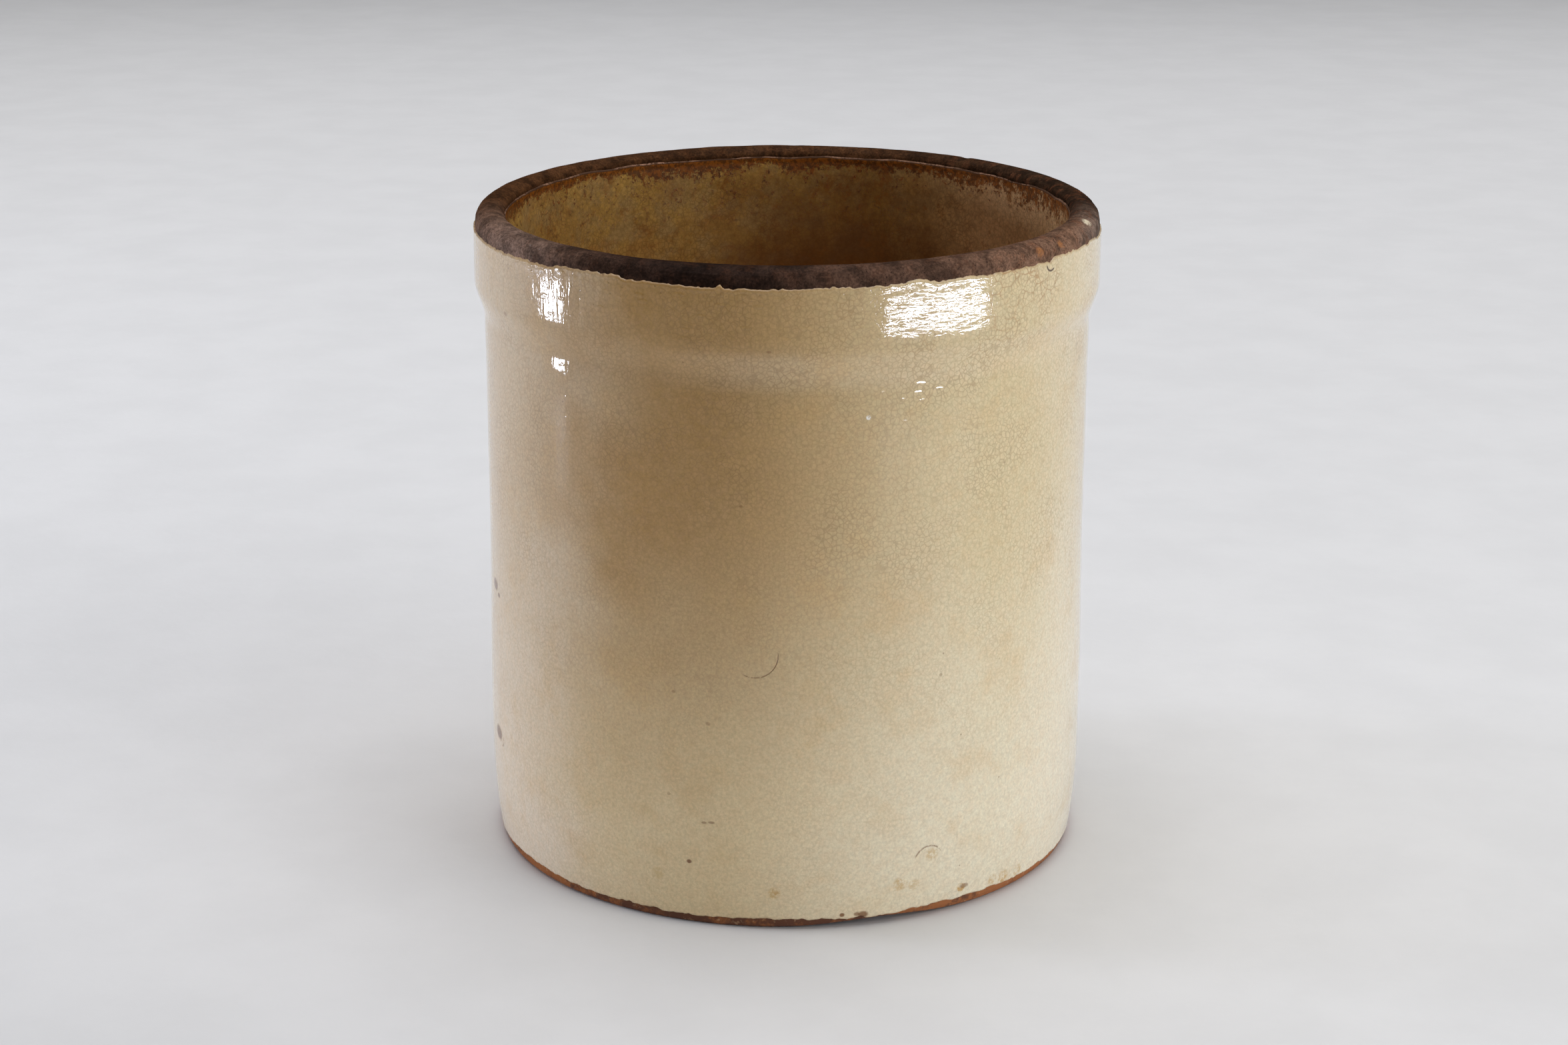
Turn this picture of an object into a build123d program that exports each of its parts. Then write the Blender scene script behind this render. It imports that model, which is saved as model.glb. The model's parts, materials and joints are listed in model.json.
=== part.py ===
from build123d import *
import os

# An open stoneware crock: a thick fired-clay pot with a slightly proud collar and a rounded lip.
# Its clay is coated in three separate layers: a glaze outside, a glaze inside, and a dark slip over
# the lip. A narrow band of bare clay is left round the foot.
# Millimetres. +Z is up, the axis of the pot is Z, and the origin is the centre of its base.

# Driving dimensions, over the coats.
HEIGHT = 242.4
COLLAR_RADIUS = 115.0
MOUTH_RADIUS = 103.0
BODY_TOP_RADIUS = 111.5
BODY_BASE_RADIUS = 112.3
FOOT_RADIUS = 109.4
FLOOR_THICKNESS = 12.0
COAT = 0.5

# Heights, from the base up.
FOOT_EDGE_RADIUS = 1.2
BARE_FOOT_HEIGHT = 3.4
LOWER_CURVE_HEIGHT = 36.0
SHOULDER_BOTTOM = 201.5
SHOULDER_TOP = 214.0
SHOULDER_ROUNDING = 6.0
LIP_HEIGHT = 6.4
SLIP_OUTER_EDGE = HEIGHT - 8.7
SLIP_INNER_EDGE = HEIGHT - 4.6

# The inside. The lip is half round outside its highest point and flatter inside it.
LIP_TOP_RADIUS = 108.3
LIP_INNER_HEIGHT = 4.0
FLOOR_ROUNDING = 18.0

# The dividing line between the outer and inner coats runs up the middle of the wall.
WALL_MIDDLE_RADIUS = 106.5
BEYOND = COLLAR_RADIUS + 10.0


def outer_line(coat):
    """The outside of the pot from the foot to the highest point of the lip, less a coat."""
    lip_start = (COLLAR_RADIUS - coat, HEIGHT - LIP_HEIGHT)
    lip_top = (LIP_TOP_RADIUS, HEIGHT - coat)
    foot_top = (FOOT_RADIUS - coat, FOOT_EDGE_RADIUS)
    foot_rounding = CenterArc((FOOT_RADIUS - coat - FOOT_EDGE_RADIUS, FOOT_EDGE_RADIUS),
                              FOOT_EDGE_RADIUS, -90, 90)
    lower_curve = TangentArc((BODY_BASE_RADIUS - coat, LOWER_CURVE_HEIGHT), foot_top,
                             tangent=(0, -1))
    wall = FilletPolyline((BODY_BASE_RADIUS - coat, LOWER_CURVE_HEIGHT),
                          (BODY_TOP_RADIUS - coat, SHOULDER_BOTTOM),
                          (COLLAR_RADIUS - coat, SHOULDER_TOP),
                          lip_start,
                          radius=SHOULDER_ROUNDING)
    lip = EllipticalCenterArc((lip_top[0], lip_start[1]), lip_start[0] - lip_top[0],
                              lip_top[1] - lip_start[1], start_angle=0, arc_size=90)
    return [foot_rounding, lower_curve, wall, lip]


def inner_line(coat):
    """The inside of the pot from the highest point of the lip to the middle of the floor."""
    radius = MOUTH_RADIUS + coat
    floor = FLOOR_THICKNESS - coat
    lip_base = HEIGHT - LIP_INNER_HEIGHT
    lip_rounding = EllipticalCenterArc((LIP_TOP_RADIUS, lip_base), LIP_TOP_RADIUS - radius,
                                       LIP_INNER_HEIGHT - coat, start_angle=90, arc_size=90)
    floor_rounding = FLOOR_ROUNDING + coat
    wall = Line((radius, lip_base), (radius, floor + floor_rounding))
    corner = CenterArc((radius - floor_rounding, floor + floor_rounding), floor_rounding, -90, 90)
    bottom = Line((radius - floor_rounding, floor), (0, floor))
    return [lip_rounding, wall, corner, bottom]


def section(coat):
    """Half of the pot's cross-section, with its outline drawn in by the thickness of a coat."""
    underside = Line((0, 0), (FOOT_RADIUS - coat - FOOT_EDGE_RADIUS, 0))
    axis = Line((0, FLOOR_THICKNESS - coat), (0, 0))
    outline = [underside, *outer_line(coat), *inner_line(coat), axis]
    return make_face(Curve() + outline)


def window(low_radius, high_radius, low, high):
    """A rectangle in the plane of the section, which picks out one stretch of a coat."""
    width = high_radius - low_radius
    height = high - low
    return Pos(low_radius + width / 2, low + height / 2) * Rectangle(width, height)


def turned(flat):
    """A section in the XY plane, stood up on the XZ plane and turned round the pot's axis."""
    standing = Plane.XZ * flat
    return revolve(standing, Axis.Z, 360)


clay = section(COAT)
coats = section(0) - clay

outer_window = window(WALL_MIDDLE_RADIUS, BEYOND, BARE_FOOT_HEIGHT, SLIP_OUTER_EDGE)
inner_window = window(0, WALL_MIDDLE_RADIUS, FLOOR_THICKNESS - COAT, SLIP_INNER_EDGE)
slip_window = (window(WALL_MIDDLE_RADIUS, BEYOND, SLIP_OUTER_EDGE, HEIGHT)
               + window(0, WALL_MIDDLE_RADIUS, SLIP_INNER_EDGE, HEIGHT))

nodes = {
    "stoneware_body": turned(clay),
    "outer_glaze": turned(coats & outer_window),
    "inner_glaze": turned(coats & inner_window),
    "rim_slip": turned(coats & slip_window),
}

os.makedirs("parts", exist_ok=True)
for name, solid in nodes.items():
    solid.label = name
    export_step(solid, f"parts/{name}.step")
    print(name, "solids", len(solid.solids()), "volume", round(solid.volume))
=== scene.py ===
"""The looks of an open stoneware crock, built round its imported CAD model.

Metres, in the CAD model's own frame: Z is the crock's axis, and the front faces -Y.
An azimuth is measured round the crock from the front, and grows towards +X.
The crock is four pieces, as it is in CAD: the clay pot, the glaze outside, the glaze inside, and
the dark slip over the lip. Each coat is a closed skin with ragged edges and a real thickness.
"""
import json
import math

import bmesh
import bpy
import numpy as np
from mathutils import Matrix, Vector


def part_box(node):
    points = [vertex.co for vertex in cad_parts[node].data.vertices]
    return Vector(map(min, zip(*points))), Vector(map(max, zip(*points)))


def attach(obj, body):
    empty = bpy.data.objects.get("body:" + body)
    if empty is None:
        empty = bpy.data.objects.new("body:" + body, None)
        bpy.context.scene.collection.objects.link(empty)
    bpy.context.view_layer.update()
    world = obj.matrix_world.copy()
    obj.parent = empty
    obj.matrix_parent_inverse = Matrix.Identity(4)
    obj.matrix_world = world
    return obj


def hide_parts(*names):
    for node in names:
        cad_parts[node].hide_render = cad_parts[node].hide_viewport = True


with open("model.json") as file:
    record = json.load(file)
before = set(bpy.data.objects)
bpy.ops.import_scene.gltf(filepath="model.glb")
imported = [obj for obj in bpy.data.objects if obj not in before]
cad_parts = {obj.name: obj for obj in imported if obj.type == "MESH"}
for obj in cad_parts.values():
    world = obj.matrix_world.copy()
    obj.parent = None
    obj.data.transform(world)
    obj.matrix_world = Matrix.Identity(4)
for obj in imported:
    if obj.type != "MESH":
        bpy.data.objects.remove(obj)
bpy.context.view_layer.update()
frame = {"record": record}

MM = 0.001

# Sizes that the CAD model gives.
COLLAR_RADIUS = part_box("outer_glaze")[1].x
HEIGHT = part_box("rim_slip")[1].z
FOOT_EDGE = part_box("outer_glaze")[0].z
SLIP_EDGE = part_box("rim_slip")[0].z
INNER_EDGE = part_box("inner_glaze")[1].z
FLOOR_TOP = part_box("inner_glaze")[0].z
CLAY_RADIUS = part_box("stoneware_body")[1].x
COAT = COLLAR_RADIUS - CLAY_RADIUS
MOUTH_RADIUS = frame["record"]["mounts"][1]["dims"]["r_mm"] * MM

# The outline of the pot, worked out from those. The looks keep a little inside the CAD outline.
MARGIN = 0.05 * MM
BODY_RADIUS = COLLAR_RADIUS - 3.5 * MM
BASE_RADIUS = COLLAR_RADIUS - 2.7 * MM
FOOT_RADIUS = COLLAR_RADIUS - 5.7 * MM
FOOT_CURVE = 36 * MM
FOOT_CURVE_POWER = 2.1
TAPER_LOW = 60 * MM
TAPER_HIGH = 125 * MM
SHOULDER_LOW = HEIGHT - 41.7 * MM
SHOULDER_HIGH = HEIGHT - 27.7 * MM
RIDGE_LEVEL = HEIGHT - 46.9 * MM
RIDGE_WIDTH = 6.0 * MM
RIDGE_RISE = 0.12 * MM
COLLAR_ROLL = HEIGHT - 12.6 * MM
FLOOR_ROUND = 18 * MM
INNER_WALL_LOW = FLOOR_TOP + FLOOR_ROUND
FOOT_ROUND = 1.4 * MM

# The coats. A glaze stands above the clay, and its skin reaches a little way into the clay. The
# slip lies a little inside the CAD outline, and runs on under both glazes. Under the slip and the
# inner glaze, the clay keeps well clear of them.
GLAZE = 0.45 * MM
GLAZE_BACK = 0.2 * MM
SLIP_DEPTH = 0.25 * MM
SLIP_TUCK = 3 * MM
SLIP_THICKNESS = 0.5 * MM
HIDDEN_CLAY = 1.2 * MM

# The lip isn't quite level: it is lowest at the front, and its highest point is the CAD height.
LIP_TOP = HEIGHT - 0.95 * MM
LIP_START = HEIGHT - 6.6 * MM
LIP_INNER_HEIGHT = 3.8 * MM
LIP_TOP_RADIUS = COLLAR_RADIUS - 6.7 * MM
LIP_FRONT_DROP = 1.05 * MM
LIP_RIGHT_RISE = 0.32 * MM

# Every mesh has the same points round it. EVEN spreads a column of values over whole rings.
ANGLES = 960
AZIMUTH = np.arange(ANGLES) * 2 * math.pi / ANGLES
EVEN = np.zeros(ANGLES)
QUARTER = math.pi / 2


# -------- unevenness of the thrown clay

class Waves:
    """A smooth random height over azimuth and height, made of seeded waves that close on themselves."""

    def __init__(self, seed, count, turns, heights, falloff=1.0):
        """turns is the range of waves round the pot, and heights the range of waves per metre up it."""
        draw = np.random.default_rng(seed)
        self.around = np.round(np.exp(draw.uniform(*np.log(turns), count)))
        self.upward = draw.uniform(-1, 1, count) * draw.uniform(*heights, count)
        self.phase = draw.uniform(0, 2 * math.pi, count)
        self.size = (turns[0] / self.around) ** falloff
        self.size /= np.sqrt((self.size ** 2).sum() / 2)

    def __call__(self, azimuth, height=0.0):
        """About -2 to 2, with a root mean square of 1."""
        azimuth, height = np.broadcast_arrays(azimuth, height)
        total = np.zeros(azimuth.shape)
        for turns, rise, phase, size in zip(self.around, self.upward, self.phase, self.size):
            total += size * np.cos(turns * azimuth + 2 * math.pi * rise * height + phase)
        return total


def round_from(azimuth, degrees):
    """Distance round the collar from a place in degrees, by the shorter way."""
    return np.angle(np.exp(1j * (azimuth - math.radians(degrees)))) * COLLAR_RADIUS


def bump_at(azimuth, degrees, width, size):
    """A rounded local rise of an edge: where it is, how wide it is along the edge, and how high."""
    return size * np.exp(-(round_from(azimuth, degrees) / width) ** 2)


def step_at(azimuth, degrees, to_degrees, width, size):
    """A stretch of an edge that stands higher, from one azimuth to another, with short ramps."""
    after_start = (1 + np.tanh(round_from(azimuth, degrees) / width)) / 2
    before_stop = (1 - np.tanh(round_from(azimuth, to_degrees) / width)) / 2
    return size * after_start * before_stop


out_of_round = Waves(11, 5, (2, 5), (0.0, 2.0))
wall_lumps = Waves(12, 70, (4, 60), (0.0, 60.0), 0.8)
throwing_rings = Waves(13, 24, (1, 2.4), (40.0, 130.0), 0.0)
rim_lumps = Waves(14, 60, (5, 90), (0.0, 90.0), 0.7)
edge_wander = Waves(15, 30, (4, 40), (0.0, 1.0), 0.6)
edge_crumbs = Waves(16, 160, (60, 420), (0.0, 1.0), 0.35)
foot_wander = Waves(17, 30, (3, 30), (0.0, 1.0), 0.7)
foot_crumbs = Waves(18, 120, (50, 400), (0.0, 1.0), 0.5)
inner_wander = Waves(19, 40, (4, 120), (0.0, 1.0), 0.7)
grit = Waves(20, 150, (150, 460), (200.0, 900.0), 0.3)


def unevenness(azimuth, height):
    """How far the thrown wall leaves a true surface of revolution, outwards."""
    return (0.06 * MM * out_of_round(azimuth, height)
            + 0.025 * MM * wall_lumps(azimuth, height)
            + 0.012 * MM * throwing_rings(azimuth, height)) - 0.12 * MM


def smooth(value, low, high):
    """0 below low, 1 above high, and an even S between them."""
    share = np.clip((value - low) / (high - low), 0, 1)
    return share * share * (3 - 2 * share)


# -------- outline of the pot

def wall_radius(height):
    """The outside of the wall below the lip."""
    below = np.clip(FOOT_CURVE - height, 0, None)
    foot = (BASE_RADIUS - FOOT_RADIUS) * (below / FOOT_CURVE) ** FOOT_CURVE_POWER
    taper = (BASE_RADIUS - BODY_RADIUS) * smooth(height, TAPER_LOW, TAPER_HIGH)
    step = (COLLAR_RADIUS - BODY_RADIUS) * smooth(height, SHOULDER_LOW, SHOULDER_HIGH)
    roll = 0.20 * MM * (np.clip(height - COLLAR_ROLL, 0, None) / (5 * MM)) ** 2
    return BASE_RADIUS - foot - taper + step - roll - MARGIN


def ridge(azimuth, height):
    """A low ridge below the shoulder that fades away to the right of the front."""
    share = 1 - np.exp(-(round_from(azimuth, 38) / (69 * MM)) ** 4)
    return RIDGE_RISE * share * np.exp(-((height - RIDGE_LEVEL) / RIDGE_WIDTH) ** 2)


def tilt(azimuth, height):
    """How far the lip and the top of the collar stand above or below their mean height."""
    share = smooth(height, SHOULDER_HIGH, LIP_TOP)
    return share * (LIP_RIGHT_RISE * np.sin(azimuth) - LIP_FRONT_DROP * np.cos(azimuth))


def lip_point(turn):
    """A point and outward normal on the lip: turn is 0 at its outside, 1 at its top and 2 inside."""
    outer = np.clip(turn, 0, 1) * QUARTER
    inner = np.clip(turn - 1, 0, 1) * QUARTER
    width = wall_radius(np.array(LIP_START)) - LIP_TOP_RADIUS
    rise = LIP_TOP - LIP_START
    inner_width = LIP_TOP_RADIUS - MOUTH_RADIUS
    outside = turn <= 1
    radius = np.where(outside, LIP_TOP_RADIUS + width * np.cos(outer),
                      LIP_TOP_RADIUS - inner_width * np.sin(inner))
    height = np.where(outside, LIP_START + rise * np.sin(outer),
                      LIP_TOP - LIP_INNER_HEIGHT * (1 - np.cos(inner)))
    across = np.where(outside, np.cos(outer) / width, -np.sin(inner) / inner_width)
    upward = np.where(outside, np.sin(outer) / rise, np.cos(inner) / LIP_INNER_HEIGHT)
    length = np.hypot(across, upward)
    return radius, height, across / length, upward / length


def outer_radius(azimuth, height):
    """The outside of the pot at any height, with the lip's rounding above LIP_START."""
    level = height - tilt(azimuth, height)
    width = wall_radius(np.array(LIP_START)) - LIP_TOP_RADIUS
    share = np.clip((level - LIP_START) / (LIP_TOP - LIP_START), 0, 1)
    return np.where(level <= LIP_START, wall_radius(level) + ridge(azimuth, level),
                    LIP_TOP_RADIUS + width * np.sqrt(1 - share ** 2))


def coat_inset(depth):
    """How far a glaze's surface draws in near its edge, with a thick bead just behind the edge."""
    roll = 0.55 * MM
    bead_rise, bead_place, bead_width = 0.12 * MM, 0.9 * MM, 0.6 * MM
    near = np.clip(1 - depth / roll, 0, 1)
    bead = bead_rise * np.exp(-((depth - bead_place) / bead_width) ** 2)
    return GLAZE * (1 - np.sqrt(1 - near ** 2)) - bead


# The ragged edges, as heights round the pot. A bump has its azimuth in degrees, and its width and
# height in mm. A step has the two azimuths that it lies between, its ramps' width and its height.
slip_line = SLIP_EDGE + 0.16 * MM * edge_wander(AZIMUTH) + 0.17 * MM * edge_crumbs(AZIMUTH)
for degrees, width, size in ((22.4, 4.6, 1.5), (-11.4, 0.9, 0.8), (7.7, 0.9, 0.7), (52.4, 0.8, -0.5)):
    slip_line += bump_at(AZIMUTH, degrees, width * MM, size * MM)
for start, stop, width, size in ((-44, -29.5, 0.5, 1.0), (30, 34, 1.2, 0.6), (53.5, 74, 0.4, 1.1)):
    slip_line += step_at(AZIMUTH, start, stop, width * MM, size * MM)
inner_line = INNER_EDGE + tilt(AZIMUTH, INNER_EDGE) + 0.22 * MM * inner_wander(AZIMUTH)
foot_line = FOOT_EDGE + 0.35 * MM * foot_wander(AZIMUTH) + 0.16 * MM * foot_crumbs(AZIMUTH)
for degrees, width, size in ((16, 16, -0.9), (14.2, 1.5, 1.0), (-4, 20, 0.8)):
    foot_line += bump_at(AZIMUTH, degrees, width * MM, size * MM)
foot_lift = bump_at(AZIMUTH, 18, 24 * MM, 1.8 * MM) + 0.08 * MM * (1 + np.sin(3 * AZIMUTH))


# -------- meshes

def ring_points(radius, height):
    """Points round the pot, one ring in each row, from arrays of radius and height."""
    radius, height = np.broadcast_arrays(radius, height)
    return np.stack([radius * np.sin(AZIMUTH), -radius * np.cos(AZIMUTH), height], axis=-1)


def lathe(name, rings, closed, edge=None):
    """A mesh of rings of points. A closed one joins its last ring to its first, and an open one is
    capped with a centre point at each end. edge is each point's distance from the coat's edge."""
    rows = len(rings)
    points = rings.reshape(-1, 3)
    index = np.arange(rows * ANGLES).reshape(rows, ANGLES)
    low = index if closed else index[:-1]
    high = np.roll(index, -1, axis=0) if closed else index[1:]
    quads = np.stack([low, np.roll(low, -1, 1), np.roll(high, -1, 1), high], axis=-1)
    faces = quads.reshape(-1, 4).tolist()
    if not closed:
        for ring, centre in ((index[0], rows * ANGLES), (index[-1], rows * ANGLES + 1)):
            faces += [[a, b, centre] for a, b in zip(ring.tolist(), np.roll(ring, -1).tolist())]
        ends = [[0, 0, rings[0, :, 2].mean()], [0, 0, rings[-1, :, 2].mean()]]
        points = np.concatenate([points, ends])
    mesh = bpy.data.meshes.new(name)
    mesh.from_pydata(points.tolist(), [], faces)
    if edge is not None:
        mesh.attributes.new("edge", "FLOAT", "POINT").data.foreach_set("value", edge.reshape(-1))
    tidy = bmesh.new()
    tidy.from_mesh(mesh)
    bmesh.ops.recalc_face_normals(tidy, faces=tidy.faces)
    tidy.to_mesh(mesh)
    tidy.free()
    mesh.shade_smooth()
    made = bpy.data.objects.new(name, mesh)
    bpy.context.scene.collection.objects.link(made)
    return made


def graded(start, stop, fine, coarse, reach):
    """Places from start to stop that are close together near both ends and wider in the middle."""
    places = [start]
    while places[-1] < stop:
        near = min(places[-1] - start, stop - places[-1])
        places.append(places[-1] + fine + (coarse - fine) * min(1, near / reach))
    places = np.array(places)
    return start + (places - start) * (stop - start) / (places[-1] - start)


def follow(height, low, high, low_line, high_line, reach=7 * MM):
    """Bends rings at even heights so that the end ones follow two ragged lines."""
    near_low = np.clip(1 - (height - low) / reach, 0, 1)[:, None] ** 2
    near_high = np.clip(1 - (high - height) / reach, 0, 1)[:, None] ** 2
    return height[:, None] + near_low * (low_line - low) + near_high * (high_line - high)


def outer_glaze():
    """The glaze outside, from the bare foot up to the slip."""
    below = graded(FOOT_EDGE, SHOULDER_LOW, fine=0.22 * MM, coarse=7.0 * MM, reach=14 * MM)
    above = graded(SHOULDER_LOW, SLIP_EDGE, fine=0.22 * MM, coarse=1.3 * MM, reach=6 * MM)
    rows = np.concatenate([below[:-1], above])
    near_shoulder = np.abs(rows - SHOULDER_LOW) < 1.2 * MM
    every_third = np.arange(len(rows)) % 3 == 0
    rows = rows[~near_shoulder | every_third]
    height = follow(rows, FOOT_EDGE, SLIP_EDGE, foot_line, slip_line)
    depth = np.minimum(height - height[0], height[-1] - height)
    radius = outer_radius(AZIMUTH, height) + unevenness(AZIMUTH, height) - coat_inset(depth)
    back_height = height[::-4]
    back = outer_radius(AZIMUTH, back_height) + unevenness(AZIMUTH, back_height) - GLAZE - GLAZE_BACK
    rings = np.concatenate([ring_points(radius, height), ring_points(back, back_height)])
    edge = np.concatenate([depth, np.zeros(back.shape)])
    return lathe("crock_outer_glaze", rings, True, edge)


def rim_slip():
    """The dark slip over the lip, whose lower edges run on a little way under both glazes."""
    lip_foot = LIP_TOP - LIP_INNER_HEIGHT
    low = np.linspace(SLIP_EDGE - SLIP_TUCK, LIP_START, 16)[:-1]
    turn = np.concatenate([np.linspace(0, 1, 30)[:-1], np.linspace(1, 2, 16)])
    drop = np.linspace(lip_foot, INNER_EDGE - SLIP_TUCK, 8)[1:]
    radius, height, across, upward = lip_point(turn)
    radius = np.concatenate([wall_radius(low), radius, np.full(len(drop), MOUTH_RADIUS)])
    height = np.concatenate([low, height, drop])
    across = np.concatenate([np.ones(len(low)), across, -np.ones(len(drop))])
    upward = np.concatenate([np.zeros(len(low)), upward, np.zeros(len(drop))])
    radius, height = radius[:, None], height[:, None]
    across, upward = across[:, None], upward[:, None]
    around = radius * across
    lumps = 0.08 * MM * rim_lumps(AZIMUTH, around) + 0.006 * MM * grit(AZIMUTH, around + height)
    lumps -= 0.10 * MM + chips(AZIMUTH, height)
    wall = unevenness(AZIMUTH, height) * np.clip(across, 0, 1)
    outwards = lumps + wall - SLIP_DEPTH
    front_radius = radius + outwards * across
    front_height = height + tilt(AZIMUTH, height) + outwards * upward
    back_radius = (front_radius - SLIP_THICKNESS * across)[::-5]
    back_height = (front_height - SLIP_THICKNESS * upward)[::-5]
    rings = np.concatenate([ring_points(front_radius, front_height),
                            ring_points(back_radius, back_height)])
    return lathe("crock_rim_slip", rings, True)


def chips(azimuth, height):
    """Small dents in the lip. Each has its azimuth in degrees, and its height, radius and depth in mm."""
    dents = ((72, 239.8, 1.9, 0.5), (49.6, 236.4, 1.1, 0.35), (57.2, 236.6, 1.1, 0.3),
             (-31, 237.6, 1.4, 0.25), (24.5, 235.6, 1.8, 0.25), (140, 240.0, 2.2, 0.4),
             (-118, 238.5, 1.6, 0.35))
    total = np.zeros(np.broadcast(azimuth, height).shape)
    for degrees, level, size, deep in dents:
        away = np.hypot(round_from(azimuth, degrees), height - level * MM) / (size * MM)
        total += deep * MM * np.exp(-away ** 3)
    return total


def inner_wall():
    """The glaze down the inside wall: rings of radius, of height, and of distance from its edge."""
    rows = graded(INNER_WALL_LOW, INNER_EDGE, fine=0.25 * MM, coarse=7.0 * MM, reach=26 * MM)[::-1]
    rows = rows[rows > INNER_WALL_LOW + 1.5 * MM]
    height = follow(rows, INNER_WALL_LOW, INNER_EDGE, INNER_WALL_LOW + EVEN, inner_line)
    depth = height[0] - height
    lumps = 0.12 * MM * wall_lumps(AZIMUTH, height) + 0.10 * MM * throwing_rings(AZIMUTH, height)
    radius = MOUTH_RADIUS + lumps * smooth(depth, 0, 6 * MM) + coat_inset(depth)
    return radius, height, depth


def inner_floor():
    """The glaze over the floor, with the low spiral that a thrower's finger leaves."""
    radius = np.linspace(MOUTH_RADIUS - FLOOR_ROUND, 2 * MM, 20)[1:, None] + EVEN
    spiral = 0.25 * MM * np.cos(radius * 2 * math.pi / (11 * MM) + AZIMUTH)
    return radius, FLOOR_TOP + spiral * smooth(radius, 4 * MM, 20 * MM)


def inner_glaze():
    """The glaze inside: the wall below the lip, the rounding at the bottom, and the floor."""
    radius, height, depth = inner_wall()
    bend = np.linspace(0, QUARTER, 16)[:, None]
    corner_radius = MOUTH_RADIUS - FLOOR_ROUND * (1 - np.cos(bend)) + EVEN
    corner_height = INNER_WALL_LOW - FLOOR_ROUND * np.sin(bend) + EVEN
    floor_radius, floor_height = inner_floor()
    front_radius = np.concatenate([radius, corner_radius, floor_radius])
    front_height = np.concatenate([height, corner_height, floor_height])
    far = 1.0
    edge = np.concatenate([depth, np.full(corner_radius.shape, far), np.full(floor_radius.shape, far)])
    thick = GLAZE + GLAZE_BACK
    back_radius = np.concatenate([np.minimum(floor_radius[::-6], MOUTH_RADIUS - FLOOR_ROUND),
                                  corner_radius[::-5] + thick * np.cos(bend[::-5]),
                                  radius[::-8] + thick])
    back_height = np.concatenate([np.full(floor_radius[::-6].shape, FLOOR_TOP - thick),
                                  corner_height[::-5] - thick * np.sin(bend[::-5]),
                                  height[::-8]])
    rings = np.concatenate([ring_points(back_radius, back_height),
                            ring_points(front_radius, front_height)])
    edges = np.concatenate([np.zeros(back_radius.shape), edge])
    caps = np.zeros(2)
    return lathe("crock_inner_glaze", rings, False, np.concatenate([edges.reshape(-1), caps]))


def clay_foot():
    """The underside, from near the axis outwards, and the rounded edge of the foot."""
    under = np.linspace(3 * MM, FOOT_RADIUS - 4 * MM, 12)[:, None] + EVEN
    lumps = 0.12 * MM * (1 + wall_lumps(AZIMUTH, under)) * smooth(under, 90 * MM, 60 * MM)
    under_height = np.clip(lumps, 0, None) + foot_lift * smooth(under, 85 * MM, 106 * MM)
    bend = np.linspace(0, QUARTER, 9)[:, None]
    radius = FOOT_RADIUS - COAT - FOOT_ROUND * (1 - np.sin(bend)) + EVEN
    height = foot_lift + FOOT_ROUND * (1 - np.cos(bend)) + 0.03 * MM * grit(AZIMUTH, bend * 0.002)
    height = np.clip(height, 0, None)
    return np.concatenate([under, radius]), np.concatenate([under_height, height])


def clay_wall():
    """The outside wall: bare and gritty at the foot, and close under the coats above it."""
    below = graded(FOOT_ROUND + 0.3 * MM, SHOULDER_LOW, fine=0.4 * MM, coarse=14 * MM, reach=30 * MM)
    above = graded(SHOULDER_LOW, LIP_START, fine=0.5 * MM, coarse=2.0 * MM, reach=6 * MM)
    rows = np.concatenate([below[:-1], above])[:, None]
    height = rows + foot_lift * smooth(rows, 9 * MM, 2 * MM)
    bare = smooth(height, 9 * MM, 6 * MM)
    buried = GLAZE + 0.9 * MM * smooth(height, SLIP_EDGE - 8 * MM, SLIP_EDGE - 4 * MM)
    radius = outer_radius(AZIMUTH, height) + unevenness(AZIMUTH, height) - buried
    return radius + bare * (0.05 * MM * grit(AZIMUTH, height) - 0.04 * MM), height


def clay_lip():
    """The clay inside the lip, under the slip."""
    radius, height, across, upward = (part[:, None] for part in lip_point(np.linspace(0.15, 1.85, 9)))
    return radius - HIDDEN_CLAY * across + EVEN, height + tilt(AZIMUTH, height) - HIDDEN_CLAY * upward


def clay_inside():
    """The inside wall, its rounding and the floor, all under the glaze."""
    hidden = MOUTH_RADIUS + HIDDEN_CLAY
    under_floor = 0.9 * MM
    wall_height = np.linspace(HEIGHT - 9 * MM, INNER_WALL_LOW, 5)[:, None] + EVEN
    bend = np.linspace(0, QUARTER, 6)[1:, None]
    corner_radius = hidden - FLOOR_ROUND * (1 - np.cos(bend)) + EVEN
    corner_height = INNER_WALL_LOW - (FLOOR_ROUND + under_floor) * np.sin(bend) + EVEN
    floor_radius = np.linspace(hidden - FLOOR_ROUND, 3 * MM, 4)[1:, None] + EVEN
    floor_height = np.full(floor_radius.shape, FLOOR_TOP - under_floor)
    radius = np.concatenate([np.full(wall_height.shape, hidden), corner_radius, floor_radius])
    return radius, np.concatenate([wall_height, corner_height, floor_height])


def clay_body():
    """The fired clay itself: bare and gritty at the foot and underneath, coated everywhere else."""
    stretches = (clay_foot(), clay_wall(), clay_lip(), clay_inside())
    radius = np.concatenate([radius for radius, height in stretches])
    height = np.concatenate([height for radius, height in stretches])
    return lathe("crock_clay_body", ring_points(radius, height), False)


# -------- materials

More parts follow.
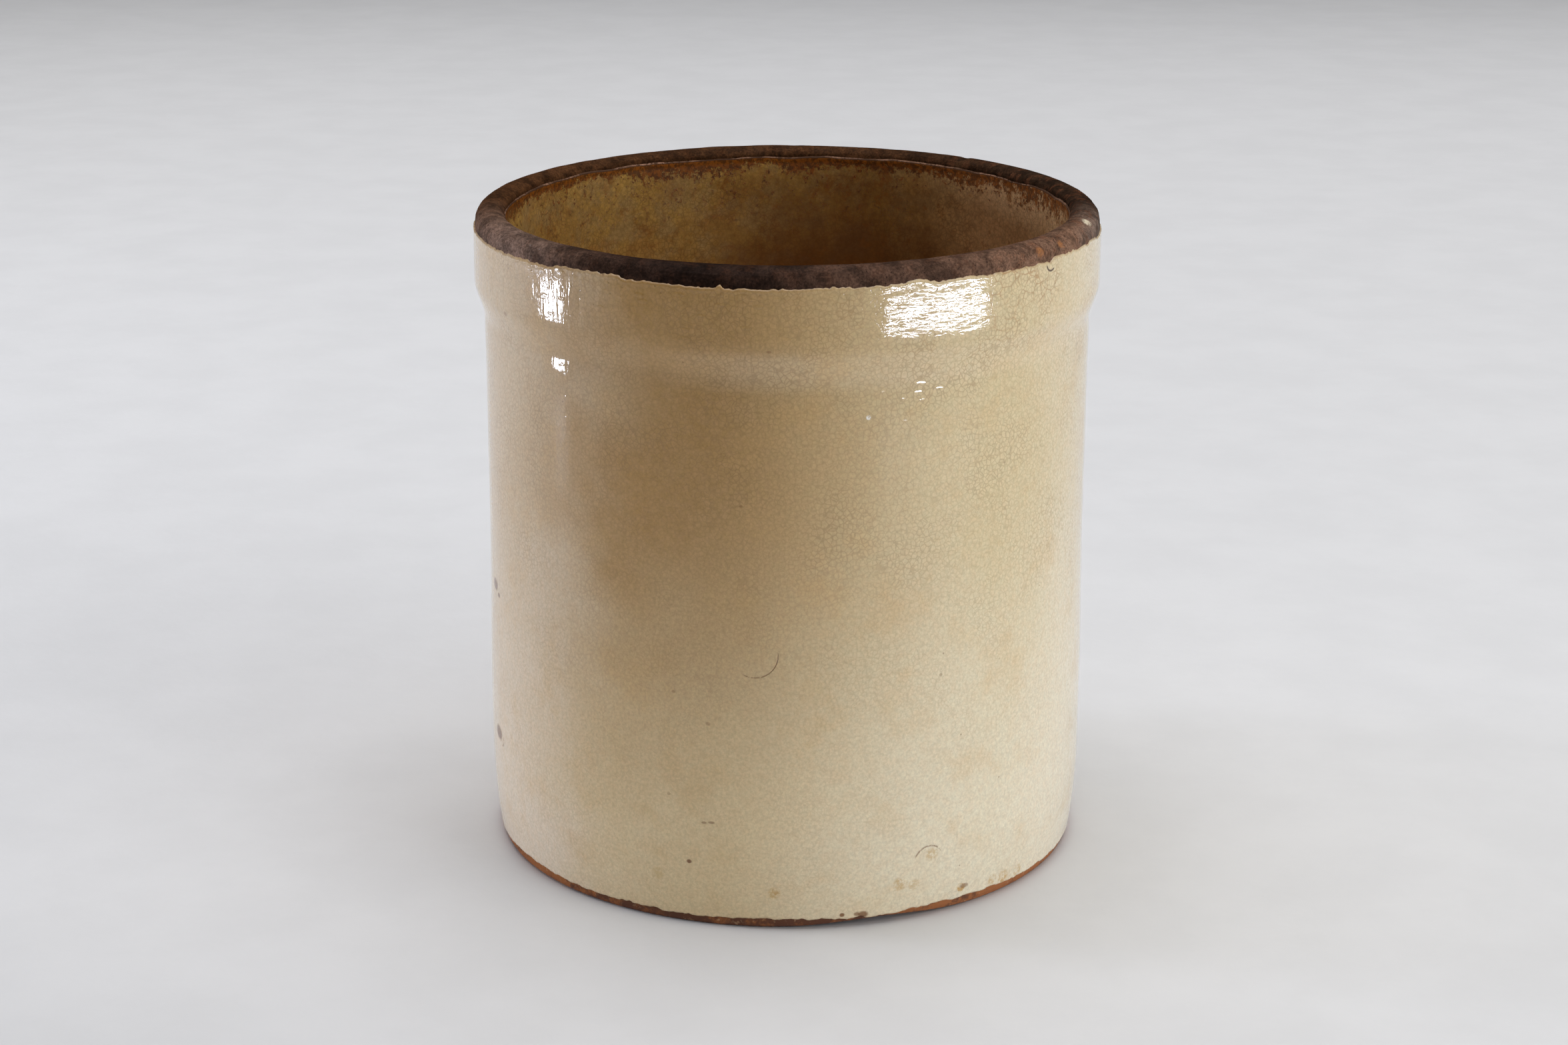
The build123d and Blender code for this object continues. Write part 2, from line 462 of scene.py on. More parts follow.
class Material:
    """A material's node tree, with one short call for each kind of node."""

    def __init__(self, name):
        self.made = bpy.data.materials.new(name)
        self.made.use_nodes = True
        self.tree = self.made.node_tree
        self.shader = self.tree.nodes["Principled BSDF"]
        self.place = self.add("ShaderNodeTexCoord").outputs["Object"]

    def add(self, kind, **settings):
        node = self.tree.nodes.new(kind)
        for name, value in settings.items():
            setattr(node, name, value)
        return node

    def feed(self, socket, value):
        """Links an output to a socket, or sets the socket to a number or colour."""
        if isinstance(value, bpy.types.NodeSocket):
            self.tree.links.new(value, socket)
        elif isinstance(value, (tuple, list)) and len(socket.default_value) == 4:
            socket.default_value = (*value[:3], 1.0)
        else:
            socket.default_value = value

    def math(self, operation, first, second=0.0, third=0.0, clamp=False):
        node = self.add("ShaderNodeMath", operation=operation, use_clamp=clamp)
        for socket, value in zip(node.inputs, (first, second, third)):
            self.feed(socket, value)
        return node.outputs[0]

    def axis(self, name):
        """One coordinate of the place."""
        parts = self.add("ShaderNodeSeparateXYZ")
        self.feed(parts.inputs[0], self.place)
        return parts.outputs[name]

    def stretch(self, scale, place=None):
        """The place, with each axis scaled by its own amount."""
        node = self.add("ShaderNodeVectorMath", operation="MULTIPLY")
        self.feed(node.inputs[0], place or self.place)
        node.inputs[1].default_value = scale
        return node.outputs[0]

    def noise(self, size, detail=2.0, roughness=0.5, distortion=0.0, place=None):
        """Noise from 0 to 1 whose lumps are about size across."""
        node = self.add("ShaderNodeTexNoise")
        self.feed(node.inputs["Vector"], place or self.place)
        self.feed(node.inputs["Scale"], 1 / size)
        self.feed(node.inputs["Detail"], detail)
        self.feed(node.inputs["Roughness"], roughness)
        self.feed(node.inputs["Distortion"], distortion)
        return node.outputs["Fac"]

    def wander(self, size, reach):
        """The place, pushed about by up to reach in lumps about size across."""
        node = self.add("ShaderNodeTexNoise")
        self.feed(node.inputs["Vector"], self.place)
        self.feed(node.inputs["Scale"], 1 / size)
        shift = self.add("ShaderNodeVectorMath", operation="MULTIPLY_ADD")
        self.feed(shift.inputs[0], node.outputs["Color"])
        shift.inputs[1].default_value = (reach, reach, reach)
        self.feed(shift.inputs[2], self.place)
        return shift.outputs[0]

    def cracks(self, size, place):
        """Distance to the nearest crack of a crazed net whose cells are about size across."""
        node = self.add("ShaderNodeTexVoronoi", feature="DISTANCE_TO_EDGE")
        self.feed(node.inputs["Vector"], place)
        self.feed(node.inputs["Scale"], 1 / size)
        return self.math("MULTIPLY", node.outputs["Distance"], size)

    def spots(self, size, place=None):
        """Distance to the nearest of scattered points about size apart."""
        node = self.add("ShaderNodeTexVoronoi", feature="F1")
        self.feed(node.inputs["Vector"], place or self.place)
        self.feed(node.inputs["Scale"], 1 / size)
        return self.math("MULTIPLY", node.outputs["Distance"], size), node.outputs["Color"]

    def ramp(self, value, low, high, to_low=0.0, to_high=1.0):
        """Maps low..high to to_low..to_high, with an S between them."""
        node = self.add("ShaderNodeMapRange", interpolation_type="SMOOTHSTEP")
        for socket, part in zip(node.inputs, (value, low, high, to_low, to_high)):
            self.feed(socket, part)
        return node.outputs[0]

    def times(self, *values):
        product = values[0]
        for value in values[1:]:
            product = self.math("MULTIPLY", product, value)
        return product

    def mix(self, share, base, other, blend="MIX"):
        """Two colours, mixed by a share from 0 to 1."""
        node = self.add("ShaderNodeMix", data_type="RGBA", blend_type=blend)
        self.feed(node.inputs["Factor"], share)
        self.feed(node.inputs["A"], base)
        self.feed(node.inputs["B"], other)
        return node.outputs["Result"]

    def grey(self, value):
        """A colour with the same value in each channel."""
        node = self.add("ShaderNodeCombineColor")
        for socket in node.inputs:
            self.feed(socket, value)
        return node.outputs[0]

    def shade(self, colour, value):
        """A colour made lighter or darker by a factor."""
        return self.mix(1.0, colour, self.grey(value), "MULTIPLY")

    def mix_value(self, share, base, other):
        """Two numbers, mixed by a share from 0 to 1."""
        return self.math("MULTIPLY_ADD", self.math("SUBTRACT", other, base), share, base)

    def channel(self, colour):
        """The red part of a colour."""
        node = self.add("ShaderNodeSeparateColor")
        self.feed(node.inputs[0], colour)
        return node.outputs[0]

    def attribute(self, name):
        return self.add("ShaderNodeAttribute", attribute_name=name).outputs["Fac"]

    def distance(self, point):
        """Distance from a point."""
        node = self.add("ShaderNodeVectorMath", operation="DISTANCE")
        self.feed(node.inputs[0], self.place)
        node.inputs[1].default_value = point
        return node.outputs["Value"]

    def bump(self, height, distance, under=None):
        """Adds a relief of that many metres to the surface."""
        node = self.add("ShaderNodeBump")
        self.feed(node.inputs["Height"], height)
        node.inputs["Distance"].default_value = distance
        node.inputs["Strength"].default_value = 1.0
        if under is not None:
            self.feed(node.inputs["Normal"], under)
        return node.outputs["Normal"]

    def finish(self, colour, normal, **sockets):
        self.feed(self.shader.inputs["Base Color"], colour)
        self.feed(self.shader.inputs["Normal"], normal)
        for name, value in sockets.items():
            self.feed(self.shader.inputs[name.replace("_", " ")], value)
        return self.made


def unrolled_place(look):
    """The place unrolled to (distance round the wall, height, 0), with 0 at the front."""
    behind = look.math("MULTIPLY", look.axis("Y"), -1.0)
    angle = look.math("ARCTAN2", look.axis("X"), behind)
    joined = look.add("ShaderNodeCombineXYZ")
    look.feed(joined.inputs[0], look.math("MULTIPLY", angle, BODY_RADIUS))
    look.feed(joined.inputs[1], look.axis("Z"))
    return joined.outputs[0]


def distance_from(look, flat, degrees, height, stretch=(1.0, 1.0)):
    """Distance on the unrolled wall from a point given by its azimuth and height."""
    centre = (math.radians(degrees) * BODY_RADIUS, height, 0)
    away = look.add("ShaderNodeVectorMath", operation="SUBTRACT")
    look.feed(away.inputs[0], flat)
    away.inputs[1].default_value = centre
    scaled = look.stretch((stretch[0], stretch[1], 1.0), away.outputs[0])
    length = look.add("ShaderNodeVectorMath", operation="LENGTH")
    look.feed(length.inputs[0], scaled)
    return length.outputs["Value"], away.outputs[0]


def spot_mark(look, flat, degrees, height, size, stretch=(1.0, 1.0)):
    """1 inside a soft spot on the wall and 0 outside it."""
    away, _ = distance_from(look, flat, degrees, height, stretch)
    return look.ramp(away, size * 1.25, size * 0.6)


def arc_mark(look, flat, degrees, level, size, thickness, towards):
    """1 along part of a thin circle on the wall: the part that lies towards a direction. The
    circle's height, radius and width are in mm."""
    radius, width = size * MM, thickness * MM
    away, offset = distance_from(look, flat, degrees, level * MM)
    off_line = look.math("ABSOLUTE", look.math("SUBTRACT", away, radius))
    along = look.add("ShaderNodeVectorMath", operation="DOT_PRODUCT")
    look.feed(along.inputs[0], offset)
    along.inputs[1].default_value = (*towards, 0)
    return look.times(look.ramp(off_line, width, width * 0.3),
                      look.ramp(along.outputs["Value"], radius * 0.35, radius * 0.6))


def crazing(look, colour, coarseness, strength, dirt_colour):
    """Darkens a colour along a fine net of cracks, and a coarser one in dirtier places. Returns it
    with the distance from the nearest fine crack."""
    wandering = look.wander(3 * MM, 1.2 * MM)
    fine = look.cracks(1.8 * MM, wandering)
    coarse = look.cracks(5.0 * MM, wandering)
    dirt = look.ramp(look.noise(24 * MM, 3.0, 0.6), 0.42, 0.68)
    fine_line = look.times(look.ramp(fine, 0.26 * MM, 0.05 * MM),
                           look.math("MULTIPLY_ADD", dirt, 0.5, 0.5), strength)
    to_right = look.ramp(look.axis("X"), 25 * MM, 75 * MM, 0.2, 0.6)
    coarse_line = look.times(look.ramp(coarse, 0.24 * MM, 0.05 * MM), dirt, coarseness, to_right)
    colour = look.mix(fine_line, colour, dirt_colour)
    return look.mix(coarse_line, colour, (0.32, 0.145, 0.04)), fine


def glaze_base(look):
    """Cream low down and tan high up, partly real and partly painted shade on the upper left; paler to
    the right and on both flanks as painted light and painted reflection, most of all towards +X.
    """
    cloud = look.ramp(look.noise(60 * MM, 3.0, 0.55), 0.3, 0.7, -0.10, 0.10)
    rise = look.math("ADD", look.ramp(look.axis("Z"), 15 * MM, 172 * MM), cloud, clamp=True)
    across = look.math("MULTIPLY_ADD", cloud, 0.1, look.axis("X"))
    # The darker, more saturated colour on the left is partly painted shade, the paler one on the right is
    # partly painted light, and the pale one far out on the left is a painted reflection.
    left = look.mix(rise, (0.70, 0.55, 0.315), (0.398, 0.226, 0.068))
    flank_tone_and_sheen = look.mix(rise, (0.695, 0.575, 0.42), (0.57, 0.435, 0.275))
    right = look.mix(rise, (0.72, 0.65, 0.485), (0.605, 0.495, 0.287))
    colour = look.mix(look.ramp(across, -50 * MM, -98 * MM), left, flank_tone_and_sheen)
    colour = look.mix(look.ramp(across, -40 * MM, 70 * MM), colour, right)
    # Painted reflection: paler still at the right-hand edge.
    pale = look.ramp(across, 76 * MM, 110 * MM, 0.0, 0.42)
    return look.mix(pale, colour, (0.77, 0.70, 0.56))


def glaze_tone(look, near_rim):
    """The colour of the glaze outside, with a painted reflection that makes the shoulder paler, blotches
    and cracks. Returns it with the distance from the nearest fine crack."""
    height = look.axis("Z")
    colour = glaze_base(look)
    # Painted reflection of the pale floor in the shoulder's downward slope.
    shoulder = look.times(look.ramp(height, SHOULDER_LOW - 5.7 * MM, SHOULDER_LOW + 0.3 * MM),
                          look.ramp(height, SHOULDER_HIGH - 1.7 * MM, SHOULDER_HIGH - 6.7 * MM),
                          look.ramp(look.axis("X"), -60 * MM, -10 * MM), 0.26)
    colour = look.mix(shoulder, colour, (0.74, 0.60, 0.42))
    patches = look.times(look.ramp(look.noise(22 * MM, 4.0, 0.6), 0.48, 0.75), 0.28)
    colour = look.mix(patches, colour, (0.56, 0.34, 0.12))
    warm = look.ramp(look.noise(3.2 * MM, 3.0, 0.6), 0.3, 0.7)
    colour = look.mix(look.times(warm, 0.16), colour, (0.62, 0.36, 0.18))
    colour = look.shade(colour, look.ramp(look.noise(1.1 * MM, 3.0, 0.7), 0.25, 0.75, 0.88, 1.10))
    strength = look.ramp(height, TAPER_LOW, SHOULDER_LOW - 15.7 * MM, 0.10, 0.36)
    return crazing(look, colour, near_rim, strength, (0.22, 0.13, 0.055))


def glaze_dirt(look, colour):
    """Scattered specks, pits under the slip, and the thin brown edge. Returns the colour and pits."""
    distance, pick = look.spots(7 * MM)
    chosen = look.ramp(look.channel(pick), 0.80, 0.86)
    speck = look.times(look.ramp(distance, 0.50 * MM, 0.15 * MM), chosen, 0.55)
    colour = look.mix(speck, colour, (0.16, 0.08, 0.04))
    distance, pick = look.spots(2.2 * MM)
    chosen = look.ramp(look.channel(pick), 0.55, 0.75)
    under_slip = look.ramp(look.axis("Z"), SLIP_EDGE - 10.7 * MM, SLIP_EDGE - 0.7 * MM)
    to_left = look.ramp(look.axis("X"), -30 * MM, -75 * MM, 0.35, 1.0)
    pit = look.times(look.ramp(distance, 0.45 * MM, 0.1 * MM), chosen, under_slip, to_left)
    colour = look.mix(look.times(pit, 0.8), colour, (0.10, 0.055, 0.03))
    thin = look.ramp(look.attribute("edge"), 0.9 * MM, 0.1 * MM)
    return look.mix(look.times(thin, 0.45), colour, (0.46, 0.30, 0.17)), pit


# The marks outside that can be told apart. Each stain has its azimuth in degrees, its height and
# size in mm, and its strength. Each fleck has how many times narrower than tall it is as well, before
# its strength. Each scratch is part of a circle: azimuth, height, radius and width, and the way
# from the circle's centre, across and up, to the part that shows.
STAINS = ((-2.0, 14.5, 2.2, 0.65), (21.6, 14.9, 2.8, 0.55), (24.5, 13.5, 2.4, 0.35),
          (46.0, 6.2, 2.8, 0.65), (43.0, 6.8, 2.2, 0.50), (50.5, 6.2, 2.6, 0.50),
          (-24.0, 18.0, 2.6, 0.3), (27.8, 24.6, 2.6, 0.45), (35.0, 7.9, 2.0, 0.8))
FLECKS = ((-17.7, 24.7, 0.8, 0.8, 0.9), (-74.6, 102.6, 2.3, 0.6, 0.95), (-71.6, 100.0, 1.0, 0.7, 0.85),
          (-73.0, 45.2, 2.8, 0.6, 0.9), (10.6, 4.9, 0.8, 0.8, 0.9), (35.7, 8.4, 1.0, 0.5, 0.6),
          (-14.8, 40.2, 0.5, 0.5, 0.6), (-13.4, 40.5, 0.5, 0.4, 0.6), (-60.0, 211.5, 0.9, 0.7, 0.45),
          (14.6, 4.4, 1.4, 0.7, 0.85), (13.4, 4.8, 0.8, 0.7, 0.7), (29.0, 92.0, 0.6, 0.8, 0.35),
          (-20.5, 88.0, 0.6, 0.8, 0.35), (-14.0, 77.5, 0.7, 0.8, 0.30), (-21.5, 49.5, 0.6, 0.8, 0.35),
          (-8.0, 157.0, 0.5, 0.8, 0.35), (44.0, 214.5, 0.5, 0.8, 0.5), (-3.0, 212.0, 0.5, 0.6, 0.5))
SCRATCHES = ((-5.6, 103.5, 8.1, 0.32, (0.56, -0.83)),
             (27.2, 22.2, 5.8, 0.45, (-0.1, 1.0)),
             (-70.6, 43.6, 2.2, 0.50, (0.9, -0.4)))
CURLED_CRACK = (52.6, 232.9, 2.5, 0.50, (-0.3, -0.95))


def glaze_marks(look, colour):
    """The stains, flecks and scratches that can be told apart. Returns the colour and scratches."""
    flat = unrolled_place(look)
    ragged = look.ramp(look.noise(1.4 * MM, 3.0, 0.7), 0.35, 0.6)
    for degrees, level, size, strength in STAINS:
        spot = spot_mark(look, flat, degrees, level * MM, size * MM)
        colour = look.mix(look.times(spot, ragged, strength), colour, (0.46, 0.25, 0.055))
    for degrees, level, size, narrowness, strength in FLECKS:
        spot = spot_mark(look, flat, degrees, level * MM, size * MM, (narrowness, 1.0))
        colour = look.mix(look.times(spot, strength), colour, (0.17, 0.065, 0.018))
    scratches = 0.0
    for scratch in SCRATCHES:
        scratches = look.math("MAXIMUM", arc_mark(look, flat, *scratch), scratches)
    scratches = look.times(scratches, look.ramp(look.noise(1.8 * MM, 2.0, 0.6), 0.35, 0.5))
    colour = look.mix(look.times(scratches, 0.7), colour, (0.25, 0.14, 0.07))
    curl = arc_mark(look, flat, *CURLED_CRACK)
    colour = look.mix(look.times(curl, 0.95), colour, (0.075, 0.04, 0.022))
    # A near-white speck: a small mark in the glaze with a painted glint on it.
    bruise_glint = spot_mark(look, flat, 14.4, 187.8 * MM, 0.85 * MM)
    return look.mix(look.times(bruise_glint, ragged, 0.9), colour, (0.90, 0.88, 0.84)), scratches


def glaze_waves(look):
    """The soft relief of the glaze: broad waves everywhere, and dents and ripples on the collar."""
    rippled = look.ramp(look.axis("Z"), SHOULDER_LOW - 12.7 * MM, SHOULDER_HIGH + 7.3 * MM, 0.3, 1.0)
    waves = look.noise(9 * MM, 2.0, 0.5, place=look.stretch((1.0, 1.0, 1.6)))
    distance, pick = look.spots(3.4 * MM, place=look.stretch((0.5, 0.5, 1.25)))
    chosen = look.ramp(look.channel(pick), 0.45, 0.55)
    dent = look.times(look.ramp(distance, 1.2 * MM, 0.5 * MM), chosen)
    level_ripple = look.noise(1.8 * MM, 2.0, 0.55, place=look.stretch((0.30, 0.30, 1.0)))
    upright_ripple = look.noise(2.6 * MM, 2.0, 0.5, place=look.stretch((1.0, 1.0, 0.22)))
    to_right = look.ramp(look.axis("X"), -10 * MM, 40 * MM)
    ripple = look.mix_value(to_right, look.times(upright_ripple, 2.2), level_ripple)
    normal = look.bump(waves, 0.03 * MM)
    normal = look.bump(look.times(dent, rippled), 0.045 * MM, normal)
    return look.bump(look.times(ripple, rippled), 0.085 * MM, normal)


def glaze_bubbles(look, normal):
    """Adds small bubbles close under the slip, and a few everywhere that only glitter."""
    distance, pick = look.spots(2.3 * MM)
    bubble = look.times(look.ramp(distance, 0.95 * MM, 0.1 * MM),
                        look.ramp(look.channel(pick), 0.55, 0.65),
                        look.ramp(look.axis("Z"), SLIP_EDGE - 8.7 * MM, SLIP_EDGE - 2.7 * MM))
    distance, pick = look.spots(5.0 * MM)
    glitter = look.times(look.ramp(distance, 0.35 * MM, 0.1 * MM),
                         look.ramp(look.channel(pick), 0.72, 0.78))
    normal = look.bump(bubble, 0.06 * MM, normal)
    return look.bump(glitter, 0.08 * MM, normal)


def outer_glaze_look():
    """Glossy, crazed, cream at the bottom and tan at the top, with specks, stains and scratches."""
    look = Material("outer_glaze")
    near_rim = look.ramp(look.axis("Z"), SHOULDER_LOW - 15.7 * MM, SLIP_EDGE - 1.7 * MM)
    colour, crack_distance = glaze_tone(look, near_rim)
    colour, pits = glaze_dirt(look, colour)
    colour, scratches = glaze_marks(look, colour)
    normal = glaze_bubbles(look, glaze_waves(look))
    open_cracks = look.times(look.ramp(crack_distance, 0.0, 0.15 * MM), near_rim)
    normal = look.bump(open_cracks, 0.006 * MM, normal)
    normal = look.bump(look.times(pits, -1.0), 0.12 * MM, normal)
    normal = look.bump(look.times(scratches, -1.0), 0.15 * MM, normal)
    roughness = look.ramp(look.noise(12 * MM, 3.0, 0.6), 0.3, 0.75, 0.03, 0.075)
    return look.finish(colour, normal, Roughness=roughness, IOR=1.52)


def inner_tone(look, right_hand):
    """Ochre, browner low down partly as painted shade, with dull and warm patches, and painted shade as a
    dark brown patch low at the back.
    """
    cloud = look.ramp(look.noise(38 * MM, 4.0, 0.6), 0.42, 0.68, 0.0, 0.4)
    # Browner and darker low down: partly the glaze's colour, partly painted shade.
    deep = look.ramp(look.axis("Z"), 228 * MM, 165 * MM, 0.0, 0.75)
    share = look.math("ADD", cloud, deep, clamp=True)
    share = look.times(share, look.math("MULTIPLY_ADD", right_hand, -0.45, 1.0))
    upper = look.mix(right_hand, (0.62, 0.374, 0.100), (0.86, 0.54, 0.275))
    colour = look.mix(share, upper, (0.34, 0.150, 0.042))
    strength = look.math("MULTIPLY_ADD", right_hand, -0.32, 0.45)
    dull = look.times(look.ramp(look.noise(13 * MM, 4.0, 0.65), 0.42, 0.62), strength)
    colour = look.mix(dull, colour, (0.43, 0.31, 0.155))
    warm = look.times(look.ramp(look.noise(6 * MM, 4.0, 0.7), 0.50, 0.66), strength)
    colour = look.mix(warm, colour, (0.44, 0.20, 0.055))
    colour = look.shade(colour, look.ramp(look.noise(2.2 * MM, 4.0, 0.7), 0.3, 0.7, 0.80, 1.14))
    # Painted shade: a dark brown patch low on the back wall, right of the centre.
    shade_centre_distance = look.distance((24 * MM, 102 * MM, 176 * MM))
    reach = look.math("MULTIPLY_ADD", look.noise(14 * MM, 4.0, 0.65), 60 * MM, shade_centre_distance)
    brown = look.ramp(reach, 115 * MM, 55 * MM)
    return look.mix(look.times(brown, 0.82), colour, (0.16, 0.055, 0.016))


def inner_rust(look, right_hand, speckle):
    """Where rust shows, from 0 to 1: speckled and streaky, and densest close under the rim."""
    edge = look.attribute("edge")
    depth = look.ramp(look.noise(22 * MM, 2.0, 0.5), 0.35, 0.65, 4.5 * MM, 9.0 * MM)
    depth = look.math("ADD", depth, look.times(right_hand, 8 * MM))
    under_edge = look.math("SUBTRACT", 1.0, look.math("DIVIDE", edge, depth), clamp=True)
    streaky = look.noise(3.4 * MM, 4.0, 0.7)
    spread = look.math("MULTIPLY_ADD", streaky, 1.8, look.times(under_edge, 0.95))
    spread = look.math("MULTIPLY_ADD", speckle, 1.7, spread)
    start = look.math("MULTIPLY_ADD", right_hand, 0.28, 1.84)
    rust = look.ramp(look.math("SUBTRACT", spread, start), 0.0, 0.36)
    return look.times(rust, look.ramp(edge, 40 * MM, 5 * MM))


def inner_edge(look, colour, speckle):
    """Adds painted shade as a dark line under the slip, and a painted highlight as a pale line along the
    bead on it, broken up in places.
    """
    edge = look.attribute("edge")
    # Painted shade: a dark line just under the slip.
    colour = look.mix(look.ramp(edge, 0.9 * MM, 0.6 * MM), colour, (0.075, 0.038, 0.022))
    # Painted highlight: a pale line along the bead, broken up by noise.
    bead = look.times(look.ramp(edge, 0.65 * MM, 0.40 * MM), look.ramp(speckle, 0.38, 0.56))
    painted_highlight_share = look.ramp(look.noise(16 * MM, 2.0, 0.5), 0.42, 0.60, 0.05, 0.80)
    return look.mix(look.times(bead, painted_highlight_share), colour, (0.40, 0.22, 0.14))


def inner_glaze_look():
    """Ochre and glossy, with rust under the rim, a painted highlight on the bead at the edge, and a
    bottom browned partly by painted shade.
    """
    look = Material("inner_glaze")
    edge = look.attribute("edge")
    right_hand = look.ramp(look.axis("X"), 35 * MM, 85 * MM)
    speckle = look.noise(1.3 * MM, 3.0, 0.7)
    rust = inner_rust(look, right_hand, speckle)
    ember = look.mix(look.ramp(look.noise(1.9 * MM, 3.0, 0.75), 0.43, 0.56),
                     (0.31, 0.086, 0.008), (0.105, 0.026, 0.004))
    colour = look.mix(look.times(rust, 0.92), inner_tone(look, right_hand), ember)
    loose = look.times(look.ramp(look.noise(9 * MM, 4.0, 0.7), 0.56, 0.68),
                       look.ramp(edge, 60 * MM, 12 * MM), 0.6)
    colour = look.mix(loose, colour, (0.30, 0.105, 0.018))
    colour, _ = crazing(look, colour, 0.4, 0.35, (0.13, 0.06, 0.02))
    colour = inner_edge(look, colour, speckle)
    normal = look.bump(look.noise(5.0 * MM, 2.0, 0.5), 0.05 * MM)
    normal = look.bump(look.times(rust, look.noise(0.9 * MM, 2.0, 0.6)), 0.10 * MM, normal)
    dry_edge = look.ramp(edge, 3.0 * MM, 1.8 * MM, 0.0, 0.6)
    roughness = look.math("MAXIMUM", look.math("MULTIPLY_ADD", rust, 0.35, 0.22), dry_edge)
    shine = look.ramp(edge, 3.0 * MM, 1.8 * MM, 0.5, 0.05)
    return look.finish(colour, normal, Roughness=roughness, IOR=1.5, Specular_IOR_Level=shine)


def slip_tone(look):
    """Chocolate brown: blackest left of the front as painted shade, lighter to the right and at both ends
    partly as painted light, redder to the right, and darker behind.
    """
    across = look.axis("X")
    right_hand = look.ramp(across, 30 * MM, 100 * MM)
    # Lighter to the right: partly the slip's own colour, partly painted light.
    colour = look.mix(right_hand, (0.076, 0.041, 0.027), (0.152, 0.084, 0.053))
    # Painted light: the slip is lighter at the left end and at the right end.
    colour = look.mix(look.ramp(across, -62 * MM, -100 * MM), colour, (0.172, 0.110, 0.082))
    colour = look.mix(look.ramp(across, 99 * MM, 114 * MM), colour, (0.235, 0.170, 0.135))
    # Painted shade: the slip goes nearly black just left of the front.
    painted_shade_front = look.ramp(look.math("ABSOLUTE", look.math("ADD", across, 30 * MM)), 62 * MM, 5 * MM)
    colour = look.mix(painted_shade_front, colour, (0.023, 0.012, 0.0083))
    behind = look.mix(right_hand, (0.066, 0.028, 0.011), (0.028, 0.0145, 0.0078))
    colour = look.mix(look.ramp(look.axis("Y"), -65 * MM, 12 * MM), colour, behind)
    colour = look.shade(colour, look.ramp(look.noise(7 * MM, 4.0, 0.7), 0.35, 0.65, 0.55, 1.4))
    redness = look.times(look.ramp(look.noise(5 * MM, 4.0, 0.7), 0.48, 0.68),
                         look.math("MULTIPLY_ADD", right_hand, 0.35, 0.12))
    colour = look.mix(redness, colour, (0.16, 0.06, 0.028))
    return look.shade(colour, look.ramp(look.noise(0.9 * MM, 3.0, 0.75), 0.3, 0.7, 0.6, 1.4))


# The flecks on the lip that can be told apart, where clay, glaze or dust shows. Each has its azimuth
# in degrees, its turn as in lip_point, its size in mm and its colour.
BARE, CREAM, DUST = (0.30, 0.125, 0.048), (0.66, 0.58, 0.42), (0.34, 0.28, 0.25)
LIP_FLECKS = ((73.0, 0.62, 1.9, CREAM), (50.0, 0.30, 1.9, BARE), (56.8, 0.34, 1.6, BARE),
              (49.2, 0.12, 0.7, BARE), (57.6, 0.15, 0.6, BARE), (20.0, 0.35, 0.35, CREAM),
              (-52.0, 0.5, 0.5, DUST), (-49.0, 0.44, 0.5, DUST), (148.0, 0.7, 0.9, BARE))


def slip_look():
    """Dry dark slip with pinholes and a few flecks where it has come away."""
    look = Material("rim_slip")
    colour = slip_tone(look)
    distance, pick = look.spots(2.2 * MM)
    pit = look.times(look.ramp(distance, 0.5 * MM, 0.1 * MM), look.ramp(look.channel(pick), 0.6, 0.75))
    colour = look.mix(look.times(pit, 0.75), colour, (0.014, 0.008, 0.006))
    ragged = look.ramp(look.noise(1.1 * MM, 3.0, 0.7), 0.36, 0.50)
    for degrees, turn, size, shade in LIP_FLECKS:
        fleck = look.times(near_lip(look, degrees, turn, size * MM), ragged, 0.85)
        colour = look.mix(fleck, colour, shade)
    normal = look.bump(look.noise(2.6 * MM, 3.0, 0.6), 0.16 * MM)
    normal = look.bump(look.noise(0.8 * MM, 3.0, 0.75), 0.08 * MM, normal)
    normal = look.bump(look.times(pit, -1.0), 0.15 * MM, normal)
    roughness = look.ramp(look.noise(5 * MM, 3.0, 0.6), 0.3, 0.7, 0.6, 0.8)
    return look.finish(colour, normal, Roughness=roughness, IOR=1.33, Specular_IOR_Level=0.07)


def near_lip(look, degrees, turn, size):
    """1 inside a soft ball at a place on the lip: its azimuth, and its turn as in lip_point."""
    radius, height, _, _ = lip_point(np.array(turn))
    azimuth = math.radians(degrees)
    centre = (radius * math.sin(azimuth), -radius * math.cos(azimuth), height + tilt(azimuth, height))
    return look.ramp(look.distance(centre), size * 1.3, size * 0.6)


def clay_look():
    """Bare fired clay: orange-brown, darker where it is scorched or dirty, and gritty."""
    look = Material("bare_clay")
    from_scorch = look.math("ABSOLUTE", look.math("ADD", look.axis("X"), 22 * MM))
    blotch = look.noise(7 * MM, 4.0, 0.7)
    leaning = look.ramp(from_scorch, 80 * MM, 30 * MM, -0.02, 0.16)
    scorch = look.ramp(look.math("ADD", leaning, blotch), 0.46, 0.66)
    colour = look.mix(look.times(scorch, 0.85), (0.31, 0.112, 0.037), (0.085, 0.035, 0.022))
    pale = look.times(look.ramp(look.noise(3 * MM, 3.0, 0.7), 0.58, 0.72), 0.5)
    colour = look.mix(pale, colour, (0.52, 0.32, 0.17))
    distance, pick = look.spots(1.1 * MM)
    grain = look.times(look.ramp(distance, 0.35 * MM, 0.1 * MM), look.ramp(look.channel(pick), 0.6, 0.8))
    colour = look.mix(look.times(grain, 0.6), colour, (0.05, 0.025, 0.015))
    normal = look.bump(look.noise(0.7 * MM, 3.0, 0.7), 0.10 * MM)
    return look.finish(colour, normal, Roughness=0.85, IOR=1.4)


# -------- stage, lights and camera

